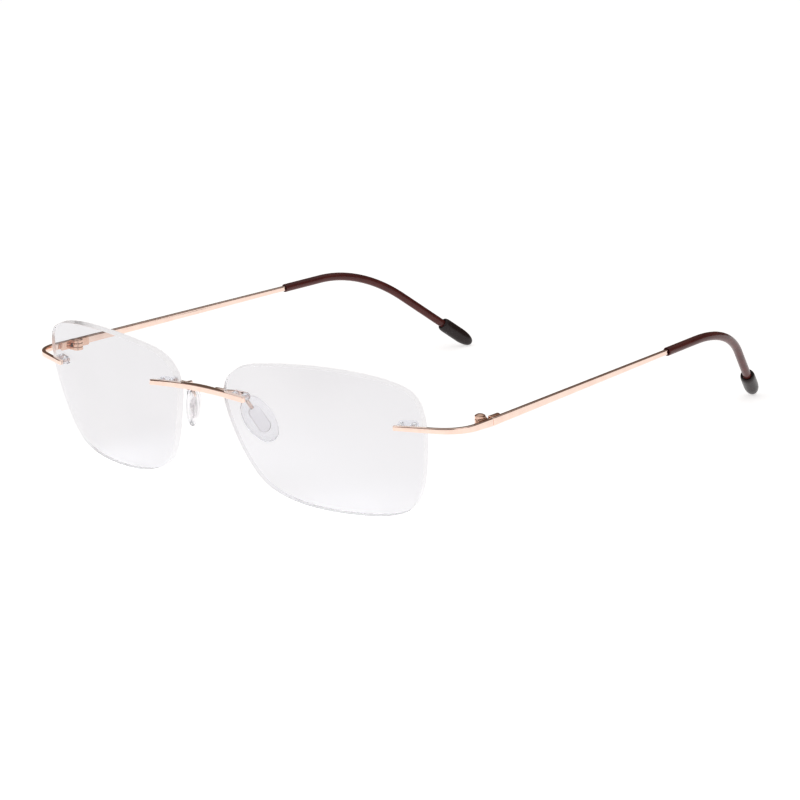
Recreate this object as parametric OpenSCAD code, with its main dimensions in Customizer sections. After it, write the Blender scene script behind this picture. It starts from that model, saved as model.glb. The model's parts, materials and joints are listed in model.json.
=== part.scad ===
// Rimless eyeglasses: two drilled lenses held by a bridge and two endpieces,
// folding flat-strip temples with tube sleeves and soft end caps.
// Millimetres. +Z is up, the lenses face -Y, X = 0 is the plane between the two eyes.
// "left" and "right" are the wearer's: left is the +X side.

/* [Lenses] */
// Width of a lens across its widest line
lens_w = 53; // [50:0.5:55]
// Height of a lens
lens_h = 36; // [34:0.5:38]
// Thickness of a lens
lens_t = 1.8; // [1.6:0.1:2.2]
// Radius of the front curve
lens_r = 114; // [100:1:140]
// Distance between the centres of the two lenses
lens_pitch = 70.3; // [68:0.1:73]
// Lean of the lens tops towards the front, degrees
lens_tilt = 11; // [9:0.5:13]
// Turn of each lens round the face, degrees
lens_wrap = 11; // [9:0.5:13]

/* [Bridge and endpieces] */
// Height of the bridge bar
bridge_h = 1.3; // [1.1:0.1:1.6]
// Thickness of the bridge bar where it lies on a lens
bridge_t = 1.2; // [1:0.05:1.3]
// Rise of the middle of the bridge above its ends
bridge_rise = 0.7; // [0.3:0.1:1.2]
// Radius of the bend in each endpiece
corner_r = 8; // [7:0.5:9]
// Height of the endpiece bar at its end on the lens
endpiece_h = 1.1; // [1:0.05:1.3]

/* [Lens fastenings] */
// Distance between the two pins of a fastening
pin_pitch = 3.1; // [2.9:0.1:3.3]
// Diameter of a pin
pin_d = 0.9; // [0.7:0.05:1]
// Diameter of a bushing where it goes through the lens
bushing_d = 1.5; // [1.4:0.05:1.7]

/* [Nose pads] */
// Length of a nose pad
pad_l = 12.2; // [11:0.1:13]
// Width of a nose pad
pad_w = 6.8; // [6:0.1:8]
// Thickness of a nose pad at its middle
pad_t = 2.2; // [2:0.1:2.8]
// Diameter of the wire that carries a pad
wire_d = 0.9; // [0.8:0.05:1]

/* [Hinges] */
// Outer diameter of the hinge barrel
barrel_d = 2.5; // [2.3:0.1:2.6]
// Height of the hinge barrel
barrel_h = 2.6; // [2.4:0.1:3]
// Diameter of the hinge screw
screw_d = 1.3; // [1.2:0.05:1.4]

/* [Temples] */
// Height of the temple strip at the hinge
strip_h = 1.95; // [1.8:0.05:2.2]
// Height of the temple strip where it enters its sleeve
strip_tip_h = 1.25; // [1.1:0.05:1.3]
// Thickness of the temple strip and the endpieces
strip_t = 1.0; // [0.8:0.05:1.1]
// Length from the hinge gap to the sleeve
strip_l = 72; // [60:0.5:80]
// Length from the hinge gap to the start of the ear bend
straight_l = 85; // [84:0.5:95]
// Radius of the ear bend
bend_r = 39; // [35:1:45]
// Angle of the ear bend, degrees
bend_angle = 42.5; // [40:0.5:44]
// Length of the straight stretch after the ear bend, to the end of the cap
tip_l = 25.7; // [24:0.1:28]
// Outer diameter of the sleeve
sleeve_d = 2.15; // [2:0.05:2.4]
// Diameter of the wire inside the sleeve
core_d = 1.15; // [1:0.05:1.2]
// Largest diameter of the end cap
cap_d = 3.8; // [3.5:0.1:4.2]
// Length of the end cap
cap_l = 10.8; // [10:0.1:12]

/* [Hidden] */
$fn = 64;
// Facets of the large arcs and spheres, which only show in a preview
FINE = 240;
// Radial clearance of parts that are pressed or pushed together
fit = 0.02;
// Clearance between parts that turn against each other
play = 0.08;
// Length that cutters run past the material
cut = 1;

// Guide polygon of a 53 x 36 lens, seen from the front, nose side at -x
LENS_GUIDE = [[26.5, 11], [16.5, 16.5], [-5.5, 18], [-30, 13.5],
              [-24, -8], [-15, -18], [16, -19], [23.5, -12.5]];
// Reach of that outline from its centre towards the nose and downwards
LENS_GUIDE_NOSE = 27.6;
LENS_GUIDE_DROP = 18.57;
LENS_GUIDE_W = 53;
LENS_GUIDE_H = 36;
outline_steps = 12;

// Centre of the left lens: it stands on its lower edge, and its distance ahead of the origin
// puts the origin halfway along the glasses
lens_nose = LENS_GUIDE_NOSE * lens_w / LENS_GUIDE_W;
lens_drop = LENS_GUIDE_DROP * lens_h / LENS_GUIDE_H;
lens_x = lens_pitch / 2;
lens_y = -73.4;
lens_z = lens_drop * cos(lens_tilt) - sag(0, lens_drop) * sin(lens_tilt);

// Middles of the two fastenings on a lens, as distances across and up from the lens centre
pins_from_edge = 4.1;
bridge_spot = [pins_from_edge - lens_nose, 7.3];
endpiece_spot = [lens_w - lens_nose - pins_from_edge, 5.1];

// Bars stand this far off the lens, so that their square backs clear its lean
bar_gap = 0.2;
// Length of bar beyond the pin that is furthest from the lens edge
bridge_end = 1.8;
endpiece_end = 1.15;
// Swell of the bridge between the lenses: its depth, and how far it runs over each lens
swell_t = 0.95;
swell_over = 0.8;
// Flange of a bushing, the gap between it and the lens, and how far the pins pass it
flange_t = 0.6;
flange_w = 1.9;
flange_gap = 0.05;
pin_proud = 0.15;

// Start of the temple at the gap between it and the endpiece, and its turns from straight back
split = [67.5, lens_y + 21.4, 23.05];
split_gap = 0.12;
temple_yaw = 3.8;
temple_pitch = 1.15;
// Inward lean of the plane of the ear bend
bend_lean = 24.7;
// Length of strip that goes into the sleeve, and depth of the sleeve's wider mouth
strip_tuck = 1.2;
mouth_l = 1.4;

// Hinge axis, plates and screw head
pivot = [64.9, split.y - 1.15, split.z + 0.1];
leaf_t = 0.8;
leaf_l = 3.6;
leaf_gap = 0.1;
plate_h = 2.2;
screw_head_d = 2.3;
screw_head_h = 0.4;
screw_slot = 0.35;

// Nose pad: place of its middle, and the turns from upright, degrees
pad_at = [10.7, lens_y + 5.6, 18.6];
pad_turns = [31, -7, -28];
paddle_l = 7;
paddle_w = 3.1;
paddle_t = 0.7;
// Flat back to crowned front of the pad, and the radius of its round ends
crown_r = 24;
pad_end_r = pad_w / 2 - 0.8;
// Wire: its bend, the height of the bend above the pad, and its brazed foot behind the bridge
wire_bend_r = 1.6;
wire_rise = 1.7;
foot_from_middle = 5.6;
foot_d = 1.3;
foot_w = 2.8;

GOLD = [0.93, 0.76, 0.65];
CLEAR = [0.92, 0.92, 0.95, 0.4];
LENS = [0.93, 0.93, 0.96, 0.35];
MAROON = [0.27, 0.14, 0.14];
BLACK = [0.10, 0.09, 0.09];

// ---------- shared geometry ----------

// Depth of the front curve behind its middle, at u across and v up
function sag(u, v) = lens_r - sqrt(lens_r * lens_r - u * u - v * v);

// Point on the front of the left lens, at p = [across, up] from its centre
function lens_point(p) =
    let (s = sag(p.x, p.y),
         y = s * cos(lens_tilt) - p.y * sin(lens_tilt),
         z = s * sin(lens_tilt) + p.y * cos(lens_tilt))
    [lens_x + p.x * cos(lens_wrap) - y * sin(lens_wrap),
     lens_y + p.x * sin(lens_wrap) + y * cos(lens_wrap),
     lens_z + z];

// Smooth closed curve that touches the middle of each side of a guide polygon
function smooth_outline(guide, steps) = [
    for (i = [0:len(guide) - 1], j = [0:steps - 1])
        let (t = j / steps,
             a = guide[i],
             b = guide[(i + 1) % len(guide)],
             c = guide[(i + 2) % len(guide)])
        ((1 - t) * (1 - t) * a + (1 + 2 * t - 2 * t * t) * b + t * t * c) / 2
];

// Unit vector along v
function unit(v) = v / norm(v);

// The children on the wearer's left (side = 1) or mirrored to the right (side = -1)
module on_side(side) {
    if (side > 0) children();
    else mirror([1, 0, 0]) children();
}

// Frame of the left lens: x across, y through it, z up it, origin at the middle of its front
module in_lens() {
    translate([lens_x, lens_y, lens_z]) rotate([lens_tilt, 0, lens_wrap]) children();
}

// Frame square to the front of the left lens at p, with y going in
module on_lens(p) {
    in_lens()
        translate([0, lens_r, 0])
        rotate([-asin(p.y / lens_r), 0, asin(p.x / lens_r)])
        translate([0, -lens_r, 0]) children();
}

// Frame of the left temple: y along the strip from the hinge gap, z up
module in_temple() {
    translate(split) rotate([temple_pitch, 0, temple_yaw]) children();
}

// Frame with its origin at o and its y axis along ahead, turned so that -z leans towards down
module in_frame(o, ahead, down) {
    y = unit(ahead);
    z = -unit(down - (down * y) * y);
    x = cross(y, z);
    multmatrix([[x.x, y.x, z.x, o.x], [x.y, y.y, z.y, o.y], [x.z, y.z, z.z, o.z]]) children();
}

// Frame at the start of the ear bend, leaning inwards with it
module in_bend() {
    in_temple() translate([0, straight_l, 0]) rotate([0, bend_lean, 0]) children();
}

// Frame at the end of a bend of radius r that turned by angle from y towards -z
module after_turn(r, angle) {
    translate([0, 0, -r]) rotate([-angle, 0, 0]) translate([0, 0, r]) children();
}

// Rod along y
module rod(d, l) {
    rotate([-90, 0, 0]) cylinder(d = d, h = l);
}

// Flat shape in the x-z plane, given thickness along y
module slab(t) {
    rotate([90, 0, 0]) mirror([0, 0, 1]) linear_extrude(t) children();
}

// Bar shape with round ends, l long and w wide in all
module stadium(l, w) {
    square([l - w, w], center = true);
    for (s = [-1, 1]) translate([s * (l - w) / 2, 0]) circle(d = w);
}

// Rod along y that turns towards -z at the origin: before and after are its straight lengths.
// They are a hair thinner than the bend and start inside it, so that the three fuse cleanly
module bent_rod(d, before, r, angle, after) {
    translate([0, -before, 0]) rod(d - fit, before + fit);
    translate([0, 0, -r]) rotate([0, -90, 0]) rotate_extrude(angle = angle) translate([r, 0]) circle(d = d);
    after_turn(r, angle) translate([0, -fit, 0]) rod(d - fit, after + fit);
}

// ---------- lenses and their fastenings ----------

// The two pins of a fastening, or the holes for them, at p on the left lens
module pin_pair(p, d, from, to) {
    on_lens(p)
        for (s = [-1, 1]) translate([s * pin_pitch / 2, from, 0]) rod(d, to - from);
}

module lens(side) {
    outline = [for (g = LENS_GUIDE) [g.x * lens_w / LENS_GUIDE_W, g.y * lens_h / LENS_GUIDE_H]];
    depth = sag(lens_w / 2, lens_h / 2) + lens_t + 2 * cut;
    color(LENS) on_side(side) difference() {
        in_lens() intersection() {
            translate([0, -cut, 0]) slab(depth) polygon(smooth_outline(outline, outline_steps));
            translate([0, lens_r, 0]) difference() {
                sphere(r = lens_r, $fn = FINE);
                sphere(r = lens_r - lens_t, $fn = FINE);
            }
        }
        for (p = [bridge_spot, endpiece_spot])
            pin_pair(p, bushing_d, -cut, lens_t + cut);
    }
}

// Twin bushing: two sleeves in the lens, joined by a flange behind it
module bushing(side, p) {
    seat = lens_t + flange_gap;
    color(CLEAR) on_side(side) difference() {
        union() {
            on_lens(p) translate([0, seat, 0])
                slab(flange_t) stadium(pin_pitch + flange_w, flange_w);
            pin_pair(p, bushing_d - 2 * fit, 2 * flange_gap, seat + flange_t / 2);
        }
        pin_pair(p, pin_d + 2 * fit, -cut, lens_t + flange_t + cut);
    }
}

// ---------- bridge ----------

// Bridge bar seen from above: thin on the lenses, deeper between them
module bridge_plan() {
    y = lens_point(bridge_spot).y - bar_gap - bridge_t / 2;
    half = lens_point(bridge_spot).x + pin_pitch / 2 + bridge_end;
    swell_half = lens_x - lens_nose + swell_over;
    swell_r = (swell_half * swell_half + swell_t * swell_t) / (2 * swell_t);
    translate([0, y]) {
        stadium(2 * half, bridge_t);
        translate([0, swell_t - bridge_t / 2]) intersection() {
            translate([0, swell_r - swell_t]) circle(r = swell_r);
            translate([0, swell_t - swell_r]) circle(r = swell_r);
        }
    }
}

// Bridge bar seen from the front: a band that arches between its ends
module bridge_elevation() {
    half = lens_point(bridge_spot).x + pin_pitch / 2 + bridge_end;
    arch_r = (half * half + bridge_rise * bridge_rise) / (2 * bridge_rise);
    top = lens_point(bridge_spot).z + bridge_rise;
    translate([0, top - arch_r]) difference() {
        circle(r = arch_r + bridge_h / 2, $fn = FINE);
        circle(r = arch_r - bridge_h / 2, $fn = FINE);
    }
}

module bridge() {
    color(GOLD) {
        intersection() {
            linear_extrude(lens_h) bridge_plan();
            translate([0, lens_y - lens_w / 2, 0]) slab(lens_w) bridge_elevation();
        }
        for (side = [-1, 1]) on_side(side)
            pin_pair(bridge_spot, pin_d, -bar_gap - bridge_t / 2, lens_t + flange_t + pin_proud);
    }
}

// ---------- endpieces ----------

module endpiece(side) {
    // straight stretch along the lens, then a bend into the temple's line
    spot = lens_point(endpiece_spot);
    heading = lens_wrap + asin(endpiece_spot.x / lens_r);
    turn = 90 + temple_yaw - heading;
    start = [spot.x, spot.y] + (bar_gap + strip_t / 2) * [sin(heading), -cos(heading)];
    ahead = [cos(heading), sin(heading)];
    back = [sin(temple_yaw), -cos(temple_yaw)];
    gap = [split.x - start.x, split.y - start.y];
    run = (gap.x * back.y - gap.y * back.x) / (ahead.x * back.y - ahead.y * back.x);
    corner = start + run * ahead;
    leg = corner_r * tan(turn / 2);
    tail = norm([split.x, split.y] - corner) - leg;
    past = pin_pitch / 2 + endpiece_end;
    tall = 3 * strip_h;
    color(GOLD) on_side(side) {
        intersection() {
            translate([0, 0, split.z]) {
                translate(start) rotate([0, 0, heading])
                    translate([-past, -strip_t / 2, -tall / 2])
                        cube([past + run - leg + fit, strip_t, tall]);
                translate(corner - leg * ahead) rotate([0, 0, heading - 90]) translate([-corner_r, 0, 0])
                    rotate_extrude(angle = turn)
                        translate([corner_r, 0]) square([strip_t, tall], center = true);
                translate([split.x, split.y]) rotate([0, 0, temple_yaw])
                    translate([-strip_t / 2, -tail - fit, -tall / 2])
                        cube([strip_t, tail + fit - split_gap, tall]);
            }
            // top and bottom faces that spread towards the hinge
            rotate([90, 0, 90]) linear_extrude(2 * split.x) polygon([
                [start.y - past, spot.z - endpiece_h / 2], [split.y, split.z - strip_h / 2],
                [split.y, split.z + strip_h / 2], [start.y - past, spot.z + endpiece_h / 2]]);
        }
        pin_pair(endpiece_spot, pin_d, -bar_gap - strip_t / 2, lens_t + flange_t + pin_proud);
    }
}

// ---------- nose pads ----------

// Frame of the left pad: x through it, y across it, z along it
module in_pad() {
    translate(pad_at) rotate(pad_turns) children();
}

// Point at height h on the long axis of the left pad
function pad_axis_point(h) =
    pad_at + h * [
        sin(pad_turns.z) * sin(pad_turns.x) + cos(pad_turns.z) * sin(pad_turns.y) * cos(pad_turns.x),
        sin(pad_turns.z) * sin(pad_turns.y) * cos(pad_turns.x) - cos(pad_turns.z) * sin(pad_turns.x),
        cos(pad_turns.y) * cos(pad_turns.x)];

// Flat end of the pad arm, g larger all round
module paddle(g) {
    in_pad() rotate([0, 0, 90]) translate([0, -paddle_t / 2 - g, 0])
        slab(paddle_t + 2 * g) rotate(90) stadium(paddle_l + 2 * g, paddle_w + 2 * g);
}

// Brazed foot behind the bridge, wire, and flat end inside the pad
module pad_arm(side) {
    bar = lens_point(bridge_spot);
    foot = [foot_from_middle, bar.y + swell_t - fit, bar.z + 0.8 * bridge_rise];
    neck = pad_l / 2 + wire_rise;
    corner = pad_axis_point(neck);
    down = pad_axis_point(0) - corner;
    turn = acos(unit(corner - foot) * unit(down));
    leg = wire_bend_r * tan(turn / 2);
    into_pad = neck - leg - paddle_l / 2 + wire_d / 2;
    color(GOLD) on_side(side) {
        translate(foot - [foot_w / 2, 0, 0]) rotate([0, 90, 0]) cylinder(d = foot_d, h = foot_w);
        in_frame(corner - leg * unit(corner - foot), corner - foot, down)
            bent_rod(wire_d, norm(corner - foot) - leg, wire_bend_r, turn, into_pad);
        paddle(0);
    }
}

// Oval from two end circles and two long side arcs
module oval(l, w, end_r) {
    c = l / 2 - end_r;
    k = w / 2 - end_r;
    d = (c * c - k * k) / (2 * k);
    side_r = d + w / 2;
    reach = c * side_r / (side_r - end_r);
    intersection() {
        translate([d, 0]) circle(r = side_r);
        translate([-d, 0]) circle(r = side_r);
        square([w, 2 * reach], center = true);
    }
    for (s = [-1, 1]) translate([0, s * c]) circle(r = end_r);
}

module nose_pad(side) {
    color(CLEAR) on_side(side) difference() {
        in_pad() intersection() {
            rotate([0, 0, 90]) translate([0, -pad_t / 2, 0]) slab(pad_t) oval(pad_l, pad_w, pad_end_r);
            translate([crown_r - pad_t / 2, 0, 0]) sphere(r = crown_r, $fn = FINE);
        }
        paddle(fit);
        in_pad() cylinder(d = wire_d + 2 * fit, h = pad_l);
    }
}

// ---------- hinges ----------

// Frame of the left hinge: origin on its axis, y along the temple
module in_hinge() {
    translate(pivot) rotate([0, 0, temple_yaw]) children();
}

// Hinge leaf: a plate on the strip's inner face, towards the temple (dir = 1) or the front (-1),
// and a web from it to the barrel; the children are cut from the web and the barrel
module leaf(dir) {
    across = (split.x - pivot.x) * cos(temple_yaw) + (split.y - pivot.y) * sin(temple_yaw);
    along = (split.y - pivot.y) * cos(temple_yaw) - (split.x - pivot.x) * sin(temple_yaw);
    inner = across - strip_t / 2 - fit;
    plate_y = dir > 0 ? along + leaf_gap : leaf_gap;
    web_l = dir > 0 ? plate_y + leaf_t / 2 : barrel_d / 2;
    translate([0, 0, -plate_h / 2]) linear_extrude(plate_h)
        translate([inner - leaf_t, dir > 0 ? plate_y : -plate_y - leaf_l]) square([leaf_t, leaf_l]);
    difference() {
        translate([0, 0, -barrel_h / 2]) linear_extrude(barrel_h) {
            circle(d = barrel_d);
            translate([0, dir > 0 ? 0 : -web_l]) square([inner - leaf_t / 2, web_l]);
        }
        children();
    }
}

// Space of the middle knuckle, with g of clearance above and below
module middle_layer(g) {
    translate([0, 0, -barrel_h / 6 - g])
        linear_extrude(barrel_h / 3 + 2 * g) square(4 * barrel_d, center = true);
}

// Top and bottom knuckles
module front_hinge(side) {
    color(GOLD) on_side(side) in_hinge() difference() {
        leaf(-1) middle_layer(play);
        translate([0, 0, -barrel_h]) cylinder(d = screw_d + 2 * fit, h = 2 * barrel_h);
    }
}

// Middle knuckle, which turns on the screw
module temple_hinge(side) {
    color(GOLD) on_side(side) in_hinge() difference() {
        leaf(1) for (dir = [-1, 1]) translate([0, 0, dir * barrel_h / 3]) middle_layer(0);
        translate([0, 0, -barrel_h]) cylinder(d = screw_d + 2 * play, h = 2 * barrel_h);
    }
}

module hinge_screw(side) {
    dome_r = (screw_head_d * screw_head_d / 4 + screw_head_h * screw_head_h) / (2 * screw_head_h);
    color(GOLD) on_side(side) translate(pivot) {
        translate([0, 0, -barrel_h / 2]) cylinder(d = screw_d, h = barrel_h + 2 * fit);
        translate([0, 0, barrel_h / 2 + fit]) difference() {
            intersection() {
                cylinder(d = screw_head_d, h = screw_head_h);
                translate([0, 0, screw_head_h - dome_r]) sphere(r = dome_r);
            }
            rotate([0, 0, 30]) translate([-screw_head_d, -screw_slot / 2, screw_head_h / 2])
                cube([2 * screw_head_d, screw_slot, screw_head_h]);
        }
    }
}

// ---------- temples ----------

// Round rod inside or outside the sleeve: from a, along the strip, to b past the ear bend
module temple_rod(d, a, b) {
    in_bend() bent_rod(d, straight_l - a, bend_r, bend_angle, b);
}

module temple_arm(side) {
    end = strip_l + strip_tuck;
    color(GOLD) on_side(side) {
        in_temple() rotate([90, 0, 90]) translate([0, 0, -strip_t / 2]) linear_extrude(strip_t) polygon([
            [0, -strip_h / 2], [strip_l, -strip_tip_h / 2], [end, -strip_tip_h / 2],
            [end, strip_tip_h / 2], [strip_l, strip_tip_h / 2], [0, strip_h / 2]]);
        temple_rod(core_d, strip_l, tip_l - cap_l / 2);
    }
}

module temple_sleeve(side) {
    mouth = norm([strip_tip_h, strip_t]) + 4 * fit;
    color(MAROON) on_side(side) difference() {
        temple_rod(sleeve_d, strip_l, tip_l - cap_l / 2);
        temple_rod(core_d + 2 * fit, strip_l - cut, tip_l);
        in_temple() translate([0, strip_l - cut, 0]) rod(mouth, mouth_l + cut);
    }
}

// End cap: open rim, cylinder, rounded nose
module end_cap(side) {
    rim_d = 3.1;
    rim_l = 1.6;
    rim_wall = 0.15;
    rim_depth = 0.6;
    nose_l = 4.6;
    body_l = cap_l - rim_l - nose_l;
    bore_l = cap_l / 2 + fit;
    steps = 12;
    color(BLACK) on_side(side) in_bend() after_turn(bend_r, bend_angle)
        translate([0, tip_l - cap_l, 0]) rotate([-90, 0, 0]) difference() {
        union() {
            rotate_extrude() polygon(concat(
                [[0, 0]],
                [for (i = [0:steps]) let (a = 90 * i / steps)
                    [rim_d / 2 + (cap_d - rim_d) / 2 * sin(a), rim_l * (1 - cos(a))]],
                [for (i = [1:steps]) let (a = 90 * i / steps)
                    [cap_d / 2 * pow(cos(a), 0.8), rim_l + body_l + nose_l * sin(a)]]));
            translate([0, 0, rim_l]) cylinder(d = cap_d, h = body_l);
        }
        translate([0, 0, -cut]) cylinder(d = sleeve_d + 2 * fit, h = bore_l + cut);
        translate([0, 0, -cut]) cylinder(d = rim_d - 2 * rim_wall, h = rim_depth + cut);
    }
}

lens(1);  // lens_left
lens(-1);  // lens_right
bridge();
bushing(1, bridge_spot);  // bridge_bushing_left
bushing(-1, bridge_spot);  // bridge_bushing_right
endpiece(1);  // endpiece_left
endpiece(-1);  // endpiece_right
bushing(1, endpiece_spot);  // endpiece_bushing_left
bushing(-1, endpiece_spot);  // endpiece_bushing_right
pad_arm(1);  // pad_arm_left
pad_arm(-1);  // pad_arm_right
nose_pad(1);  // nose_pad_left
nose_pad(-1);  // nose_pad_right
front_hinge(1);  // front_hinge_left
front_hinge(-1);  // front_hinge_right
temple_hinge(1);  // temple_hinge_left
temple_hinge(-1);  // temple_hinge_right
hinge_screw(1);  // hinge_screw_left
hinge_screw(-1);  // hinge_screw_right
temple_arm(1);  // temple_arm_left
temple_arm(-1);  // temple_arm_right
temple_sleeve(1);  // temple_sleeve_left
temple_sleeve(-1);  // temple_sleeve_right
end_cap(1);  // end_cap_left
end_cap(-1);  // end_cap_right
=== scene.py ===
"""Looks of the rimless eyeglasses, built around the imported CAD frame.

Lengths are in millimetres until a piece is made, when they become metres. The floor and the
lights are in metres. "left" and "right" are the wearer's: left is the +X side. Every left piece
is mirrored to make the right one.
"""

import json
from math import asin, atan2, ceil, cos, degrees, pi, radians, sin, sqrt, tan

import bmesh
import bpy
from mathutils import Euler, Matrix, Vector
from mathutils.geometry import delaunay_2d_cdt


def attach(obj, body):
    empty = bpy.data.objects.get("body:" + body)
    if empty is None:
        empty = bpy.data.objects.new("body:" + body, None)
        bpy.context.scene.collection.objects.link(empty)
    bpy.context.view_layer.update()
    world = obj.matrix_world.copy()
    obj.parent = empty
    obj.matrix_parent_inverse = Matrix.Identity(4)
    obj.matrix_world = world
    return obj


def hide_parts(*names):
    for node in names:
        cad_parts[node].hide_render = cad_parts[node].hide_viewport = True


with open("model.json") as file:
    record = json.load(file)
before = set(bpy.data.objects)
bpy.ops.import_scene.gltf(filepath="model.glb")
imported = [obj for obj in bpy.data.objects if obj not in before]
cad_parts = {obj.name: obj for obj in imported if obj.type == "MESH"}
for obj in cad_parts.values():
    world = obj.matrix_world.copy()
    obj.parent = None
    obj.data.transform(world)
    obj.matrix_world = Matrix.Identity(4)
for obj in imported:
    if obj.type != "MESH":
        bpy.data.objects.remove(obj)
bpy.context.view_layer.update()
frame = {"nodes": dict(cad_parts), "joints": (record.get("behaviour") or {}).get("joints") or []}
MM = 0.001

# ---------- driving dimensions, the same as the frame's ----------

# Lenses: the guide polygon is across and up from the middle of a lens
LENS_PITCH, LENS_Y, LENS_TILT, LENS_WRAP = 70.3, -73.4, 11, 11
LENS_W, LENS_T, LENS_R = 53, 1.8, 114
LENS_NOSE, LENS_DROP = 27.6, 18.57
LENS_GUIDE = [(26.5, 11), (16.5, 16.5), (-5.5, 18), (-30, 13.5),
              (-24, -8), (-15, -18), (16, -19), (23.5, -12.5)]

# Two pins and a twin bushing at each spot on a lens
PINS_FROM_EDGE, PIN_PITCH, PIN_D, PIN_PROUD = 4.1, 3.1, 0.9, 0.15
BUSHING_D, FLANGE_T, FLANGE_W, FLANGE_GAP = 1.5, 0.6, 1.9, 0.05
BRIDGE_SPOT = (PINS_FROM_EDGE - LENS_NOSE, 7.3)
ENDPIECE_SPOT = (LENS_W - LENS_NOSE - PINS_FROM_EDGE, 5.1)

# Bridge, which is deeper between the lenses, and endpieces
BAR_GAP, BRIDGE_H, BRIDGE_T, BRIDGE_RISE, BRIDGE_END = 0.2, 1.3, 1.2, 0.7, 1.8
SWELL_T, SWELL_OVER = 0.95, 0.8
CORNER_R, ENDPIECE_H, ENDPIECE_END = 8, 1.1, 1.15

# Temples: strip, wire and its bend, sleeve and cap
STRIP_H, STRIP_TIP_H, STRIP_T, STRIP_L, STRIP_TUCK = 1.95, 1.25, 1.0, 72, 1.2
STRAIGHT_L, BEND_R, BEND_ANGLE, BEND_LEAN, TIP_L = 85, 39, 42.5, 24.7, 25.7
SPLIT, SPLIT_GAP = Vector((67.5, LENS_Y + 21.4, 23.05)), 0.12
TEMPLE_YAW, TEMPLE_PITCH = 3.8, 1.15
SLEEVE_D, CORE_D, MOUTH_L = 2.15, 1.15, 1.4
CAP_D, CAP_L, CAP_RIM_D, CAP_RIM_L, CAP_NOSE_L = 3.8, 10.8, 3.1, 1.6, 4.6

# Hinges
BARREL_D, BARREL_H, SCREW_D = 2.5, 2.6, 1.3
LEAF_T, LEAF_L, LEAF_GAP, PLATE_H = 0.8, 3.6, 0.1, 2.2

# Nose pads, the flat plate in each, and the wire from its foot on the bridge
PAD_AT, PAD_TURNS = Vector((10.7, LENS_Y + 5.6, 18.6)), (31, -7, -28)
PAD_L, PAD_W, PAD_T, PAD_CROWN_R, PAD_END_R = 12.2, 6.8, 2.2, 24, 2.6
PADDLE_L, PADDLE_W, PADDLE_T = 7, 3.1, 0.7
WIRE_D, WIRE_BEND_R, WIRE_RISE = 0.9, 1.6, 1.7
FOOT_FROM_MIDDLE, FOOT_D, FOOT_W = 5.6, 1.3, 2.8

# Clearances
FIT, PLAY = 0.02, 0.08

# Radii of rounded corners and edges
BRIDGE_CORNER, STRIP_CORNER = 0.12, 0.24
LENS_EDGE, BUSHING_EDGE, PIN_EDGE, BAR_EDGE = 0.1, 0.15, 0.2, 0.2
FOOT_EDGE, PADDLE_EDGE, PAD_EDGE = 0.45, 0.1, 0.65
LEAF_EDGE, KNUCKLE_EDGE, MIDDLE_KNUCKLE_EDGE = 0.15, 0.1, 0.08

# Length of a temple along its wire, from the hinge gap to the tip
TEMPLE_L = STRAIGHT_L + radians(BEND_ANGLE) * BEND_R + TIP_L


# ---------- frames of reference ----------

def moved(x, y, z):
    return Matrix.Translation((x, y, z))


def turned(x, y, z):
    """Turns about X, then Y, then Z, in degrees."""
    return Euler((radians(x), radians(y), radians(z))).to_matrix().to_4x4()


def sag(u, v, r=LENS_R):
    """Depth behind the lens front's middle of a sphere of radius r round the same centre."""
    return LENS_R - sqrt(r * r - u * u - v * v)


LENS_Z = LENS_DROP * cos(radians(LENS_TILT)) - sag(0, LENS_DROP) * sin(radians(LENS_TILT))
IN_LENS = moved(LENS_PITCH / 2, LENS_Y, LENS_Z) @ turned(LENS_TILT, 0, LENS_WRAP)


def square_to(spot):
    """Frame in the lens's own frame, square to its front at spot, with y going in."""
    return (moved(0, LENS_R, 0)
            @ turned(-degrees(asin(spot[1] / LENS_R)), 0, degrees(asin(spot[0] / LENS_R)))
            @ moved(0, -LENS_R, 0))


def on_lens(spot):
    """The same frame as square_to gives, in the whole object's frame."""
    return IN_LENS @ square_to(spot)


IN_TEMPLE = moved(*SPLIT) @ turned(TEMPLE_PITCH, 0, TEMPLE_YAW)
IN_BEND = IN_TEMPLE @ moved(0, STRAIGHT_L, 0) @ turned(0, BEND_LEAN, 0)
IN_PAD = moved(*PAD_AT) @ turned(*PAD_TURNS)
left_hinge = next(j for j in frame["joints"] if j["name"] == "left_temple_hinge")
PIVOT = Vector(left_hinge["pos_m"]) / MM
IN_HINGE = moved(*PIVOT) @ turned(0, 0, TEMPLE_YAW)


def on_temple(s):
    """Frame at length s along the middle of the temple wire, measured from the hinge gap."""
    past = s - STRAIGHT_L
    if past <= 0:
        return IN_BEND @ moved(0, past, 0)
    angle = min(degrees(past / BEND_R), BEND_ANGLE)
    rest = past - radians(angle) * BEND_R
    return IN_BEND @ moved(0, 0, -BEND_R) @ turned(-angle, 0, 0) @ moved(0, rest, BEND_R)


def along_path(points, side):
    """A frame at each point, with y along the path; x starts as side and turns with the path."""
    frames = []
    for i, point in enumerate(points):
        y = (points[min(i + 1, len(points) - 1)] - points[max(i - 1, 0)]).normalized()
        x = (side - side.dot(y) * y).normalized()
        z = x.cross(y)
        frames.append(Matrix((
            (x.x, y.x, z.x, point.x), (x.y, y.y, z.y, point.y), (x.z, y.z, z.z, point.z),
            (0, 0, 0, 1))))
        side = x
    return frames


# ---------- mesh building ----------

# How many straight steps stand for each round stretch, and the spacing of points on the lenses
END_STEPS, EDGE_STEPS, PAD_EDGE_STEPS = 3, 3, 6
HOLE_STEPS, BORE_STEPS, FLANGE_STEPS, PADDLE_STEPS = 24, 20, 16, 16
PAD_STEPS, BARREL_STEPS, KNUCKLE_STEPS = 20, 32, 40
LENS_GRID = 1.3

SHARP_ANGLE, LENS_SHARP_ANGLE = 40, 12
SAME_POINT = 1e-4 * MM


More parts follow.
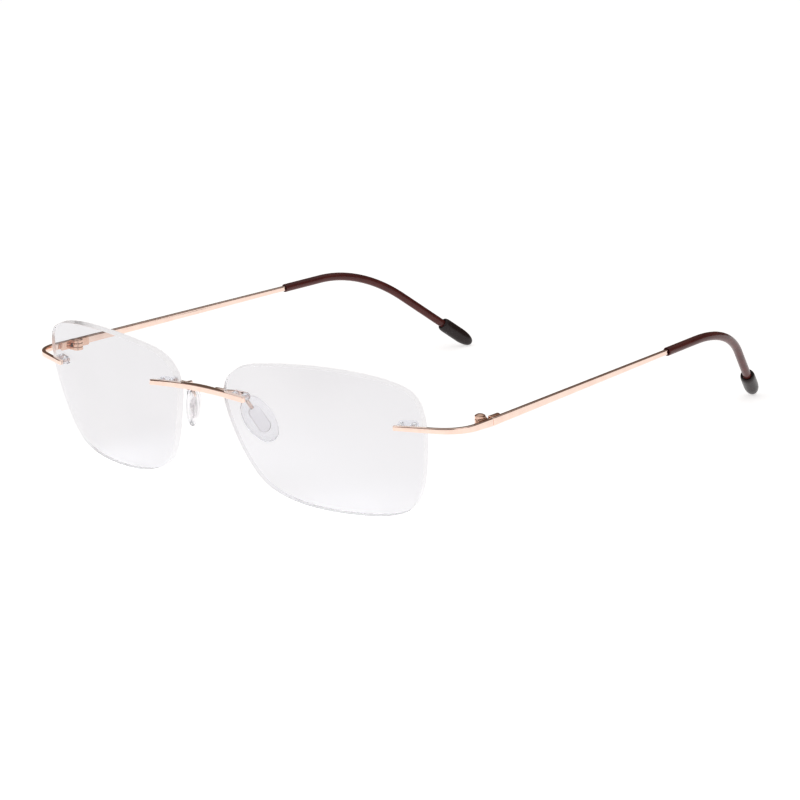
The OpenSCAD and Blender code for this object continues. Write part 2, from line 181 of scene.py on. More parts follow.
class Shape:
    """Vertices and faces of one piece, with a material number for each face."""

    def __init__(self):
        self.verts, self.faces, self.kinds = [], [], []

    def add(self, verts, faces, kind=0):
        start = len(self.verts)
        self.verts += [Vector(v) for v in verts]
        self.faces += [[start + i for i in f] for f in faces]
        self.kinds += [kind] * len(faces)


def section(width, height, corner, steps):
    """Rounded rectangle in the x-z plane, with steps points on each corner."""
    corner = min(corner, width / 2, height / 2)
    points = []
    for quarter, (right, up) in enumerate(((1, 1), (-1, 1), (-1, -1), (1, -1))):
        for k in range(steps):
            angle = pi / 2 * (quarter + (k + 0.5) / steps)
            points.append((right * (width / 2 - corner) + corner * cos(angle),
                           up * (height / 2 - corner) + corner * sin(angle)))
    return points


def ring_faces(rows, count, closed=False):
    """Faces between neighbouring rings of count points; closed joins the last to the first."""
    faces = []
    for i in range(rows if closed else rows - 1):
        low, high = i * count, (i + 1) % rows * count
        for k in range(count):
            after = (k + 1) % count
            faces.append((low + k, low + after, high + after, high + k))
    return faces


def end_faces(rows, count):
    """The first and the last ring of count points, each as one face."""
    return [tuple(range(count)), tuple(range((rows - 1) * count, rows * count))]


def sweep(shape, stations, steps=5, closed=False):
    """Skin over rounded sections. A station is a frame, a width, a height and a corner radius.
    With closed the last section joins the first, as in a tube with a wall."""
    rows, count = len(stations), 4 * steps
    verts = []
    for place, width, height, corner in stations:
        verts += [place @ Vector((x, 0, z)) for x, z in section(width, height, corner, steps)]
    faces = ring_faces(rows, count, closed)
    if not closed:
        faces += end_faces(rows, count)
    shape.add(verts, faces)


def quarter_round(r, steps):
    """How far each point of a rounded edge of radius r lies below the face and in from the side."""
    angles = [pi / 2 * k / steps for k in range(steps + 1)]
    return [(r * (1 - cos(angle)), r * (1 - sin(angle))) for angle in angles]


def rounded_ends(stations, edge):
    """The stations with both ends rounded off over the length and depth of edge."""
    first_step, least_corner = 0.3, 0.05

    def end(place, width, height, corner, way):
        made = []
        for k in range(END_STEPS):
            angle = pi / 2 * (k + first_step) / END_STEPS
            along, drawn_in = edge * (1 - cos(angle)), edge * (1 - sin(angle))
            made.append((place @ moved(0, way * along, 0), width - 2 * drawn_in,
                         height - 2 * drawn_in, max(corner - drawn_in, least_corner)))
        return made

    first, last = stations[0], stations[-1]
    start = (first[0] @ moved(0, edge, 0), *first[1:])
    stop = (last[0] @ moved(0, -edge, 0), *last[1:])
    return end(*first, 1) + [start] + list(stations[1:-1]) + [stop] + end(*last, -1)[::-1]


def rod(shape, place, d, start, stop, edge):
    """Round bar along the frame's y, with its ends rounded by edge."""
    ends = [(place @ moved(0, y, 0), d, d, d / 2) for y in (start, stop)]
    sweep(shape, rounded_ends(ends, edge))


def arc(centre, r, start, stop, steps):
    """Points on an arc, angles in radians, without its last point."""
    return [Vector((centre[0] + r * cos(start + (stop - start) * k / steps),
                    centre[1] + r * sin(start + (stop - start) * k / steps)))
            for k in range(steps)]


def inset(loop, depth):
    """The loop moved by depth towards its left, and by at most twice that at a sharp corner."""
    moved_loop = []
    for i, point in enumerate(loop):
        ahead = (loop[(i + 1) % len(loop)] - point).normalized()
        behind = (point - loop[i - 1]).normalized()
        left = Vector((-ahead.y - behind.y, ahead.x + behind.x)).normalized()
        reach = max(left.dot(Vector((-ahead.y, ahead.x))), 0.5)
        moved_loop.append(point + left * depth / reach)
    return moved_loop


def inside(point, loop):
    """True if the point is within the loop."""
    within = False
    for a, b in zip(loop, loop[1:] + loop[:1]):
        if (a.y > point.y) != (b.y > point.y):
            if point.x < a.x + (point.y - a.y) * (b.x - a.x) / (b.y - a.y):
                within = not within
    return within


def filled(loops, grid):
    """Triangles between the first loop and the others, with points grid apart in between."""
    points = [p for loop in loops for p in loop]
    edges, first = [], 0
    for loop in loops:
        edges += [(first + i, first + (i + 1) % len(loop)) for i in range(len(loop))]
        first += len(loop)
    if grid:
        room_at_edge, room_at_hole = 0.6 * grid, 0.5 * grid
        edge = inset(loops[0], room_at_edge)
        holes = [inset(loop, room_at_hole) for loop in loops[1:]]
        low = Vector((min(p.x for p in edge), min(p.y for p in edge)))
        high = Vector((max(p.x for p in edge), max(p.y for p in edge)))
        row_height = grid * sqrt(3) / 2
        for row in range(ceil((high.y - low.y) / row_height)):
            for column in range(ceil((high.x - low.x) / grid) + 1):
                point = low + Vector(((column + row % 2 / 2) * grid, row * row_height))
                if inside(point, edge) and not any(inside(point, h) for h in holes):
                    points.append(point)
    too_close = 1e-6
    _, _, triangles, sources, _, _ = delaunay_2d_cdt(points, edges, [], 0, too_close)
    faces = []
    for triangle in triangles:
        ids = [sources[i][0] for i in triangle]
        middle = sum((points[i] for i in ids), Vector((0, 0))) / 3
        if inside(middle, loops[0]) and not any(inside(middle, h) for h in loops[1:]):
            faces.append(ids)
    return points, faces


def drilled_plate(shape, loops, place, edge, grid=0, kinds=(0, 0)):
    """Plate with holes and rounded edges. loops[side] are its outline and holes on each face,
    with the material on their left; place(u, v, side, depth) is a point at depth below a face.
    kinds are the material numbers of the faces and of the walls."""
    rims = []
    for side in (0, 1):
        points, faces = filled([inset(loop, edge) for loop in loops[side]], grid)
        shape.add([place(p.x, p.y, side, 0) for p in points], faces, kinds[0])
        rows = []
        for depth, drawn_in in quarter_round(edge, EDGE_STEPS):
            rows.append([[place(p.x, p.y, side, depth) for p in inset(loop, drawn_in)]
                         for loop in loops[side]])
        rims.append(rows)
    rows = rims[0] + rims[1][::-1]
    for which in range(len(loops[0])):
        rings = [row[which] for row in rows]
        walls = ring_faces(len(rings), len(rings[0]))
        shape.add([p for ring in rings for p in ring], walls, kinds[1])


def flat_plate(shape, outline, holes, frame_in, low, high, edge, kinds=(0, 0)):
    """Plate in the x-y plane of a frame, from height low to high."""
    loops = [outline] + holes

    def place(u, v, side, depth):
        return frame_in @ Vector((u, v, low + depth if side == 0 else high - depth))
    drilled_plate(shape, (loops, loops), place, edge, kinds=kinds)


def make_piece(name, shape, side, materials, body, nodes, sharp=SHARP_ANGLE):
    """Makes the Blender object of a shape, mirrored if side is -1. It rides on body and stands
    for the CAD nodes. Edges that turn by more than sharp degrees aren't smoothed."""
    mesh = bpy.data.meshes.new(name)
    mesh.from_pydata([(side * v.x * MM, v.y * MM, v.z * MM) for v in shape.verts], [], shape.faces)
    mesh.polygons.foreach_set("material_index", shape.kinds)
    for material in materials:
        mesh.materials.append(material)
    work = bmesh.new()
    work.from_mesh(mesh)
    bmesh.ops.remove_doubles(work, verts=work.verts, dist=SAME_POINT)
    bmesh.ops.recalc_face_normals(work, faces=work.faces)
    work.to_mesh(mesh)
    work.free()
    mesh.shade_smooth()
    mesh.set_sharp_from_angle(angle=radians(sharp))
    piece = bpy.data.objects.new(name, mesh)
    bpy.context.scene.collection.objects.link(piece)
    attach(piece, body)
    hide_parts(*nodes)


def make_pair(name, build, materials, body, node, sharp=SHARP_ANGLE):
    """Makes the left and right pieces of one shape. A {} in body is where the side's name goes."""
    for side, word in ((1, "left"), (-1, "right")):
        make_piece(f"{word}_{name}", build(), side, materials, body.format(word),
                   [f"{node}_{word}"], sharp)


# ---------- materials ----------

COATED_IOR = 1.12
NOISE_LOW, NOISE_HIGH = 0.3, 0.7


class Nodes:
    """A material's node tree around one Principled shader."""

    def __init__(self, name):
        self.material = bpy.data.materials.new(name)
        self.material.use_nodes = True
        self.tree = self.material.node_tree
        self.shader = self.tree.nodes["Principled BSDF"]
        self.place = self.new("ShaderNodeTexCoord").outputs["Object"]

    def new(self, kind):
        return self.tree.nodes.new(kind)

    def link(self, a, b):
        self.tree.links.new(a, b)

    def set(self, **values):
        """Sets the shader's own sockets, named with _ for each space."""
        for key, value in values.items():
            self.shader.inputs[key.replace("_", " ")].default_value = value

    def noise(self, size_mm, detail=3, stretch=(1, 1, 1)):
        """Noise whose features are about size_mm across, times stretch along each axis."""
        mapping = self.new("ShaderNodeMapping")
        mapping.inputs["Scale"].default_value = [1 / s for s in stretch]
        self.link(self.place, mapping.inputs["Vector"])
        noise = self.new("ShaderNodeTexNoise")
        noise.inputs["Scale"].default_value = 1 / (size_mm * MM)
        noise.inputs["Detail"].default_value = detail
        self.link(mapping.outputs[0], noise.inputs["Vector"])
        return noise.outputs["Fac"]

    def blend_colour(self, factor, dark, light):
        """Sets the base colour between dark and light by the noise."""
        ramp = self.new("ShaderNodeValToRGB")
        ramp.color_ramp.elements[0].position = NOISE_LOW
        ramp.color_ramp.elements[1].position = NOISE_HIGH
        ramp.color_ramp.elements[0].color = (*dark, 1)
        ramp.color_ramp.elements[1].color = (*light, 1)
        self.link(factor, ramp.inputs["Fac"])
        self.link(ramp.outputs["Color"], self.shader.inputs["Base Color"])

    def vary(self, socket, factor, low, high):
        """Sets a socket between low and high by the noise."""
        spread = self.new("ShaderNodeMapRange")
        spread.inputs["From Min"].default_value = NOISE_LOW
        spread.inputs["From Max"].default_value = NOISE_HIGH
        spread.inputs["To Min"].default_value = low
        spread.inputs["To Max"].default_value = high
        self.link(factor, spread.inputs["Value"])
        self.link(spread.outputs[0], self.shader.inputs[socket])

    def bump(self, height, depth_mm):
        bump = self.new("ShaderNodeBump")
        bump.inputs["Strength"].default_value = 1.0
        bump.inputs["Distance"].default_value = depth_mm * MM
        self.link(height, bump.inputs["Height"])
        self.link(bump.outputs["Normal"], self.shader.inputs["Normal"])

    def pass_lamps(self, tint):
        """Lets lamps shine through the piece, tinted, so that it throws a pale shadow."""
        clear = self.new("ShaderNodeBsdfTransparent")
        clear.inputs["Color"].default_value = (*tint, 1)
        light_path = self.new("ShaderNodeLightPath")
        mix = self.new("ShaderNodeMixShader")
        self.link(light_path.outputs["Is Shadow Ray"], mix.inputs["Fac"])
        self.link(self.shader.outputs["BSDF"], mix.inputs[1])
        self.link(clear.outputs["BSDF"], mix.inputs[2])
        self.link(mix.outputs["Shader"], self.tree.nodes["Material Output"].inputs["Surface"])


def polished_metal(name, dark, light, rough):
    """Plated metal: a faint cloud in its colour and fine polishing marks."""
    n = Nodes(name)
    n.set(Metallic=1.0)
    n.blend_colour(n.noise(2.5), dark, light)
    n.vary("Roughness", n.noise(0.4, detail=5), 0.7 * rough, 1.3 * rough)
    n.bump(n.noise(0.12, detail=4, stretch=(1, 6, 1)), 0.0015)
    return n.material


def clear_lens():
    """Polished lens resin with a faint grey tint. Its anti-reflection coat leaves almost no
    mirror image, so the index is far below the resin's own 1.56."""
    n = Nodes("lens_resin")
    n.set(Roughness=0.0, IOR=COATED_IOR, Transmission_Weight=1.0)
    n.blend_colour(n.noise(30, detail=1), (0.765, 0.765, 0.785), (0.80, 0.80, 0.82))
    n.pass_lamps((0.93, 0.93, 0.94))
    return n.material


def ground_edge():
    """The lens's cut edge: ground, then buffed to a soft shine."""
    n = Nodes("lens_edge")
    n.set(IOR=COATED_IOR, Transmission_Weight=0.8)
    n.blend_colour(n.noise(0.8), (0.87, 0.87, 0.88), (0.93, 0.93, 0.94))
    n.vary("Roughness", n.noise(0.3), 0.25, 0.4)
    n.bump(n.noise(0.15, detail=4), 0.004)
    n.pass_lamps((0.8, 0.8, 0.82))
    return n.material


def clear_moulding(name, ior, clarity, dark, light, low, high):
    """Clear to milky plastic with a slightly wavy skin, its roughness between low and high."""
    n = Nodes(name)
    n.set(IOR=ior, Transmission_Weight=clarity)
    n.blend_colour(n.noise(1.5), dark, light)
    n.vary("Roughness", n.noise(0.5), low, high)
    n.bump(n.noise(1.2, detail=2), 0.008)
    n.pass_lamps((0.85, 0.85, 0.86))
    return n.material


def maroon_sleeve():
    """Dark maroon tube, extruded: faint lengthwise flow lines under a glossy skin."""
    n = Nodes("sleeve_maroon")
    n.set(IOR=1.5, Specular_IOR_Level=0.3)
    streaks = n.noise(1.6, detail=4, stretch=(1, 5, 1))
    n.blend_colour(streaks, (0.062, 0.011, 0.010), (0.105, 0.023, 0.020))
    n.vary("Roughness", n.noise(0.6), 0.16, 0.30)
    n.bump(n.noise(0.5, detail=3, stretch=(1, 4, 1)), 0.006)
    return n.material


def black_rubber():
    """Near-black moulded rubber with a fine satin grain."""
    n = Nodes("cap_black")
    n.set(IOR=1.5, Specular_IOR_Level=0.3)
    n.blend_colour(n.noise(0.9), (0.012, 0.006, 0.006), (0.020, 0.012, 0.012))
    n.vary("Roughness", n.noise(0.4), 0.22, 0.36)
    n.bump(n.noise(0.14, detail=4), 0.006)
    return n.material


# ---------- lenses ----------

def lens_outline():
    """Smooth closed curve that touches the middle of each side of the guide polygon."""
    steps = 24
    guide = [Vector(p) for p in LENS_GUIDE]
    points = []
    for i in range(len(guide)):
        a, b, c = guide[i], guide[(i + 1) % len(guide)], guide[(i + 2) % len(guide)]
        for k in range(steps):
            t = k / steps
            points.append(((1 - t) ** 2 * a + (1 + 2 * t - 2 * t * t) * b + t * t * c) / 2)
    return points


def lens_holes(side):
    """The four drilled holes where they meet the front (side 0) or the back (side 1)."""
    holes = []
    for spot in (BRIDGE_SPOT, ENDPIECE_SPOT):
        for x in (-PIN_PITCH / 2, PIN_PITCH / 2):
            rim = []
            for p in arc((x, 0), BUSHING_D / 2, 2 * pi, 0, HOLE_STEPS):
                on_face = square_to(spot) @ Vector((p.x, sag(p.x, p.y, LENS_R - side * LENS_T), p.y))
                rim.append(Vector((on_face.x, on_face.z)))
            holes.append(rim)
    return holes


def lens():
    """Thin curved shell between two spheres, drilled square to its front."""
    def place(u, v, side, depth):
        y = sag(u, v, LENS_R - side * LENS_T) + (depth if side == 0 else -depth)
        return IN_LENS @ Vector((u, y, v))

    shape = Shape()
    loops = [[lens_outline()] + lens_holes(side) for side in (0, 1)]
    drilled_plate(shape, loops, place, edge=LENS_EDGE, grid=LENS_GRID, kinds=(0, 1))
    return shape


# ---------- bridge, endpieces and their pins ----------

def pins(shape, spot, start):
    """The two pins at spot, from inside the bar to just past the flange."""
    stop = LENS_T + FLANGE_T + PIN_PROUD
    for x in (-PIN_PITCH / 2, PIN_PITCH / 2):
        rod(shape, on_lens(spot) @ moved(x, 0, 0), PIN_D, start, stop, PIN_EDGE)


def bridge():
    """Bar that is thin on the lenses, deeper between them, and arches between its ends."""
    on_left = on_lens(BRIDGE_SPOT).translation
    half = on_left.x + PIN_PITCH / 2 + BRIDGE_END
    y = on_left.y - BAR_GAP - BRIDGE_T / 2
    arch_r = (half ** 2 + BRIDGE_RISE ** 2) / (2 * BRIDGE_RISE)
    top = on_left.z + BRIDGE_RISE
    swell_half = LENS_PITCH / 2 - LENS_NOSE + SWELL_OVER
    swell_r = (swell_half ** 2 + SWELL_T ** 2) / (2 * SWELL_T)
    round_r = BRIDGE_T / 2
    steps, tip_reach, end_taper = 72, 0.1, 0.35
    stations = []
    for i in range(steps + 1):
        x = -half * cos(pi * i / steps)
        past = max(abs(x) - (half - round_r), 0)
        reach = sqrt(max(round_r ** 2 - past ** 2, tip_reach ** 2))
        front = back = reach
        if abs(x) < swell_half:
            swell = sqrt(swell_r ** 2 - x * x) - (swell_r - SWELL_T)
            back = max(back, SWELL_T - round_r + swell)
        z = top - arch_r + sqrt(arch_r ** 2 - x * x)
        lean = -degrees(asin(x / arch_r))
        place = moved(x, y + (back - front) / 2, z) @ turned(0, -lean, -90)
        height = BRIDGE_H - 2 * (round_r - reach) * end_taper
        stations.append((place, front + back, height, BRIDGE_CORNER))
    shape = Shape()
    sweep(shape, stations)
    for side in (1, -1):
        half_shape = Shape()
        pins(half_shape, BRIDGE_SPOT, -BAR_GAP - BRIDGE_T / 2)
        shape.add([(side * v.x, v.y, v.z) for v in half_shape.verts], half_shape.faces)
    return shape


def endpiece():
    """Bar that lies on the lens and bends back to the hinge, growing taller on the way."""
    spot = on_lens(ENDPIECE_SPOT).translation
    heading = radians(LENS_WRAP) + asin(ENDPIECE_SPOT[0] / LENS_R)
    yaw = radians(TEMPLE_YAW)
    turn = pi / 2 + yaw - heading
    off = BAR_GAP + STRIP_T / 2
    start = Vector((spot.x + off * sin(heading), spot.y - off * cos(heading)))
    ahead = Vector((cos(heading), sin(heading)))
    back = Vector((sin(yaw), -cos(yaw)))
    gap = SPLIT.xy - start
    run = (gap.x * back.y - gap.y * back.x) / (ahead.x * back.y - ahead.y * back.x)
    corner = start + run * ahead
    leg = CORNER_R * tan(turn / 2)
    past = PIN_PITCH / 2 + ENDPIECE_END
    bend = corner - leg * ahead + CORNER_R * Vector((-ahead.y, ahead.x))

    route = [(start + t * ahead, heading) for t in (-past, 0, (run - leg) / 2)]
    bend_steps = 16
    for k in range(bend_steps + 1):
        angle = heading + turn * k / bend_steps
        route.append((bend + CORNER_R * Vector((sin(angle), -cos(angle))), angle))
    route.append((SPLIT.xy + SPLIT_GAP * back, heading + turn))

    low_y = start.y - past
    stations = []
    for point, angle in route:
        share = (point.y - low_y) / (SPLIT.y - low_y)
        height = ENDPIECE_H + share * (STRIP_H - ENDPIECE_H)
        z = spot.z + share * (SPLIT.z - spot.z)
        place = moved(point.x, point.y, z) @ turned(0, 0, degrees(angle) - 90)
        stations.append((place, STRIP_T, height, STRIP_CORNER))
    shape = Shape()
    sweep(shape, rounded_ends(stations, BAR_EDGE))
    pins(shape, ENDPIECE_SPOT, -off)
    return shape


def bushing(spot):
    """Clear twin bushing: two sleeves in the lens, joined by a flange behind it."""
    shape = Shape()
    seat = LENS_T + FLANGE_GAP
    to_plate = on_lens(spot) @ turned(-90, 0, 0)
    half = PIN_PITCH / 2
    bore, outer = PIN_D / 2 + FIT, BUSHING_D / 2 - FIT
    outline = (arc((half, 0), FLANGE_W / 2, -pi / 2, pi / 2, FLANGE_STEPS)
               + arc((-half, 0), FLANGE_W / 2, pi / 2, 3 * pi / 2, FLANGE_STEPS))
    holes = [arc((x, 0), bore, 2 * pi, 0, BORE_STEPS) for x in (-half, half)]
    flat_plate(shape, outline, holes, to_plate, seat, seat + FLANGE_T, BUSHING_EDGE)
    mouth, chamfer, root = 0.1, 0.04, seat + 0.2
    wall = [(mouth + chamfer, bore), (mouth, bore + chamfer), (mouth, outer - chamfer),
            (mouth + chamfer, outer), (root, outer), (root, bore)]
    for x in (-half, half):
        place = on_lens(spot) @ moved(x, 0, 0)
        sweep(shape, [(place @ moved(0, y, 0), 2 * r, 2 * r, r) for y, r in wall], closed=True)
    return shape


# ---------- nose pads ----------

def pad_outline():
    """Oval from two end arcs and two long side arcs, across and along the pad."""
    c = PAD_L / 2 - PAD_END_R
    k = PAD_W / 2 - PAD_END_R
    d = (c * c - k * k) / (2 * k)
    side_r = d + PAD_W / 2
    a = atan2(c, d)
    return (arc((-d, 0), side_r, -a, a, PAD_STEPS)
            + arc((0, c), PAD_END_R, a, pi - a, PAD_STEPS)
            + arc((d, 0), side_r, pi - a, pi + a, PAD_STEPS)
            + arc((0, -c), PAD_END_R, pi + a, 2 * pi - a, PAD_STEPS))


def nose_pad():
    """Soft pad: flat back, crowned face towards the nose, rounded rim."""
    def crown(p):
        """Height of the crowned face over a point of the oval."""
        return PAD_CROWN_R - PAD_T / 2 - sqrt(PAD_CROWN_R ** 2 - p.length_squared)

    outline = pad_outline()
    rim = quarter_round(PAD_EDGE, PAD_EDGE_STEPS)
    rings = []
    for depth, drawn_in in rim:
        rings.append([(PAD_T / 2 - depth, p.x, p.y) for p in inset(outline, drawn_in)])
    for depth, drawn_in in rim[::-1]:
        rings.append([(crown(p) + depth, p.x, p.y) for p in inset(outline, drawn_in)])
    face = inset(outline, PAD_EDGE)
    for share in (0.85, 0.7, 0.55, 0.4, 0.25, 0.1):
        rings.append([(crown(share * p), share * p.x, share * p.y) for p in face])
    rows, count = len(rings), len(outline)
    shape = Shape()
    shape.add([IN_PAD @ Vector(p) for ring in rings for p in ring],
              ring_faces(rows, count) + end_faces(rows, count))
    return shape


def pad_arm():
    """Brazed foot behind the bridge, bent wire, and a flat plate inside the pad."""
    bar = on_lens(BRIDGE_SPOT).translation
    up_the_arch = 0.8 * BRIDGE_RISE
    foot = Vector((FOOT_FROM_MIDDLE, bar.y + SWELL_T - FIT, bar.z + up_the_arch))
    shape = Shape()
    rod(shape, moved(*foot) @ turned(0, 0, -90), FOOT_D, -FOOT_W / 2, FOOT_W / 2, FOOT_EDGE)

    corner = IN_PAD @ Vector((0, 0, PAD_L / 2 + WIRE_RISE))
    down = (PAD_AT - corner).normalized()
    out = (corner - foot).normalized()
    angle = out.angle(down)
    bend_from = corner - WIRE_BEND_R * tan(angle / 2) * out
    inward = (down - down.dot(out) * out).normalized()
    points = [foot, foot.lerp(bend_from, 0.5)]
    bend_steps = 12
    for k in range(bend_steps + 1):
        a = angle * k / bend_steps
        points.append(bend_from + WIRE_BEND_R * (sin(a) * out + (1 - cos(a)) * inward))
    points.append(IN_PAD @ Vector((0, 0, PADDLE_L / 2 - WIRE_D / 2)))
    frames = along_path(points, IN_PAD.to_3x3() @ Vector((0, 1, 0)))
    sweep(shape, [(place, WIRE_D, WIRE_D, WIRE_D / 2) for place in frames])

    r = PADDLE_W / 2
    reach = PADDLE_L / 2 - r
    outline = (arc((0, reach), r, 0, pi, PADDLE_STEPS)
               + arc((0, -reach), r, pi, 2 * pi, PADDLE_STEPS))
    upright = IN_PAD @ turned(90, 0, 90)
    flat_plate(shape, outline, [], upright, -PADDLE_T / 2, PADDLE_T / 2, PADDLE_EDGE, kinds=(1, 2))
    return shape


# ---------- hinges ----------

def barrel_hole(r):
    return arc((0, 0), r, 2 * pi, 0, BARREL_STEPS)


def hinge_sizes():
    """How far the strip's inner face lies across from the hinge axis, and the split along."""
    from_axis = IN_HINGE.inverted() @ Vector((SPLIT.x, SPLIT.y, PIVOT.z))
    return from_axis.x - STRIP_T / 2 - FIT, from_axis.y


def hinge_plate(shape, y_from, y_to):
    """Flat leaf on the inner face of the strip."""
    inner, _ = hinge_sizes()
    middle = inner - LEAF_T / 2
    ends = [(IN_HINGE @ moved(middle, y, 0), LEAF_T, PLATE_H, LEAF_EDGE) for y in (y_from, y_to)]
    sweep(shape, rounded_ends(ends, LEAF_EDGE))


def front_hinge():
    """Plate with the top and bottom knuckles."""
    inner, _ = hinge_sizes()
    r = BARREL_D / 2
    web_x = inner - LEAF_T / 2
    outline = arc((0, 0), r, 0, 3 * pi / 2, KNUCKLE_STEPS) + [
        Vector((0, -r)), Vector((web_x, -r)), Vector((web_x, 0))]
    hole = barrel_hole(SCREW_D / 2 + FIT)
    shape = Shape()
    hinge_plate(shape, -LEAF_GAP - LEAF_L, -LEAF_GAP)
    for low, high in ((-BARREL_H / 2, -BARREL_H / 6 - PLAY), (BARREL_H / 6 + PLAY, BARREL_H / 2)):
        flat_plate(shape, outline, [hole], IN_HINGE, low, high, KNUCKLE_EDGE)
    return shape


def temple_hinge():
    """Plate with the middle knuckle, which turns on the screw."""
    inner, along = hinge_sizes()
    r = BARREL_D / 2
    plate_y = along + LEAF_GAP
    web_x, web_y = inner - LEAF_T / 2, plate_y + LEAF_T / 2
    outline = arc((0, 0), r, pi / 2, 2 * pi, KNUCKLE_STEPS) + [
        Vector((r, 0)), Vector((web_x, 0)), Vector((web_x, web_y)), Vector((0, web_y))]
    shape = Shape()
    hinge_plate(shape, plate_y, plate_y + LEAF_L)
    flat_plate(shape, outline, [barrel_hole(SCREW_D / 2 + PLAY)], IN_HINGE,
               -BARREL_H / 6, BARREL_H / 6, MIDDLE_KNUCKLE_EDGE)
    return shape


# ---------- temples ----------

def temple_arm():
    """Flat strip, which turns to round wire inside the sleeve."""
    end, turn_l, wire_steps = STRIP_L + STRIP_TUCK, 1, 48
    stations = []
    for s in (0, STRIP_L * 0.25, STRIP_L * 0.5, STRIP_L * 0.75, STRIP_L, end):
        height = STRIP_H + (STRIP_TIP_H - STRIP_H) * min(s / STRIP_L, 1)
        stations.append((IN_TEMPLE @ moved(0, s, 0), STRIP_T, height, STRIP_CORNER))
    wire_from, wire_to = end + turn_l, TEMPLE_L - CAP_L / 2
    for k in range(wire_steps + 1):
        s = wire_from + (wire_to - wire_from) * k / wire_steps
        stations.append((on_temple(s), CORE_D - FIT, CORE_D - FIT, CORE_D / 2))
    shape = Shape()
    sweep(shape, rounded_ends(stations, BAR_EDGE))
    return shape


def temple_sleeve():
    """Tube over the temple wire, with a soft lip at its mouth. Its profile runs out along the
    outside and back through the bore."""
    outer, bore = SLEEVE_D / 2, CORE_D / 2 + FIT
    mouth = sqrt(STRIP_TIP_H ** 2 + STRIP_T ** 2) / 2 + 2 * FIT
    lip, lip_steps, taper_l = 0.18, 4, 0.4
    outer_steps, bore_steps = 80, 20
    length = TEMPLE_L - CAP_L / 2 - STRIP_L
    profile = [(0, mouth)]
    profile += [(depth, outer - drawn_in) for depth, drawn_in in quarter_round(lip, lip_steps)]
    profile += [(length * k / outer_steps, outer) for k in range(1, outer_steps + 1)]
    past_mouth = MOUTH_L + taper_l
    profile += [(past_mouth + (length - past_mouth) * k / bore_steps, bore)
                for k in range(bore_steps, -1, -1)]
    profile.append((MOUTH_L, mouth))
    shape = Shape()
    sweep(shape, [(on_temple(STRIP_L + s), 2 * r, 2 * r, r) for s, r in profile],
          steps=8, closed=True)
    return shape


def end_cap():
    """Soft cap: open rim round the sleeve, round body, blunt nose. Its profile starts at the
    bottom of the bore and ends at the tip of the nose."""
    start = TEMPLE_L - CAP_L
    bore = SLEEVE_D / 2 + FIT
    rim, body = CAP_RIM_D / 2, CAP_D / 2
    wall, flare_l, lip = 0.15, 0.6, 0.08
    bottom_r, tip_r, bluntness = 0.05, 0.03, 0.8
    swell_steps, nose_steps = 8, 14
    profile = [(CAP_L / 2, bottom_r), (CAP_L / 2, bore), (flare_l, bore), (flare_l, rim - wall),
               (lip, rim - wall), (0, rim - wall / 2), (lip, rim)]
    for k in range(1, swell_steps + 1):
        angle = pi / 2 * k / swell_steps
        along = CAP_RIM_L * (1 - cos(angle)) + lip * cos(angle)
        profile.append((along, rim + (body - rim) * sin(angle)))
    nose_from = CAP_L - CAP_NOSE_L
    for k in range(nose_steps + 1):
        angle = pi / 2 * k / nose_steps
        r = max(body * cos(angle) ** bluntness, tip_r)
        profile.append((nose_from + CAP_NOSE_L * sin(angle), r))
    shape = Shape()
    sweep(shape, [(on_temple(start + s), 2 * r, 2 * r, r) for s, r in profile], steps=9)
    return shape


# ---------- the pieces ----------

gold = polished_metal("rose_gold", (0.88, 0.67, 0.575), (0.93, 0.74, 0.64), 0.09)
hinge_gold = polished_metal("hinge_gold", (0.78, 0.50, 0.38), (0.86, 0.60, 0.47), 0.11)
plate_metal = polished_metal("pad_plate", (0.80, 0.76, 0.76), (0.88, 0.85, 0.85), 0.15)
screw_gold = polished_metal("screw_gold", (0.74, 0.46, 0.34), (0.84, 0.56, 0.43), 0.14)
resin, resin_edge = clear_lens(), ground_edge()
vinyl = clear_moulding("pad_vinyl", 1.3, 0.88, (0.94, 0.94, 0.96), (0.98, 0.98, 0.99), 0.05, 0.12)
core = clear_moulding("pad_core", 1.4, 0.95, (0.95, 0.94, 0.95), (0.98, 0.97, 0.98), 0.04, 0.1)
nylon = clear_moulding("bushing_nylon", 1.06, 0.95, (0.90, 0.91, 0.94), (0.94, 0.95, 0.98), 0.05, 0.12)
sleeve, rubber = maroon_sleeve(), black_rubber()

# The low limit keeps the shading of the lens faces apart from that of their rounded rims: smoothed
# together, they would shift what is seen through the lens.
make_pair("lens_shell", lens, [resin, resin_edge], "front", "lens", LENS_SHARP_ANGLE)
make_piece("bridge_bar", bridge(), 1, [gold], "front", ["bridge"])
make_pair("endpiece_bar", endpiece, [gold], "front", "endpiece")
make_pair("bridge_side_bushing", lambda: bushing(BRIDGE_SPOT), [nylon], "front",
          "bridge_bushing")
make_pair("endpiece_side_bushing", lambda: bushing(ENDPIECE_SPOT), [nylon], "front",
          "endpiece_bushing")
# The plate's faces are shown clear, so that only its walls stand out inside the pad.
make_pair("pad_wire", pad_arm, [gold, core, plate_metal], "front", "pad_arm")
make_pair("soft_pad", nose_pad, [vinyl], "front", "nose_pad")
make_pair("front_knuckles", front_hinge, [hinge_gold], "front", "front_hinge")
make_pair("temple_knuckle", temple_hinge, [hinge_gold], "temple_{}", "temple_hinge")
make_pair("temple_strip", temple_arm, [gold], "temple_{}", "temple_arm")
make_pair("tip_sleeve", temple_sleeve, [sleeve], "temple_{}", "temple_sleeve")
make_pair("tip_cap", end_cap, [rubber], "temple_{}", "end_cap")
for word in ("left", "right"):
    screw = frame["nodes"][f"hinge_screw_{word}"]
    screw.data.materials.clear()
    screw.data.materials.append(screw_gold)


# ---------- stage, light and camera ----------

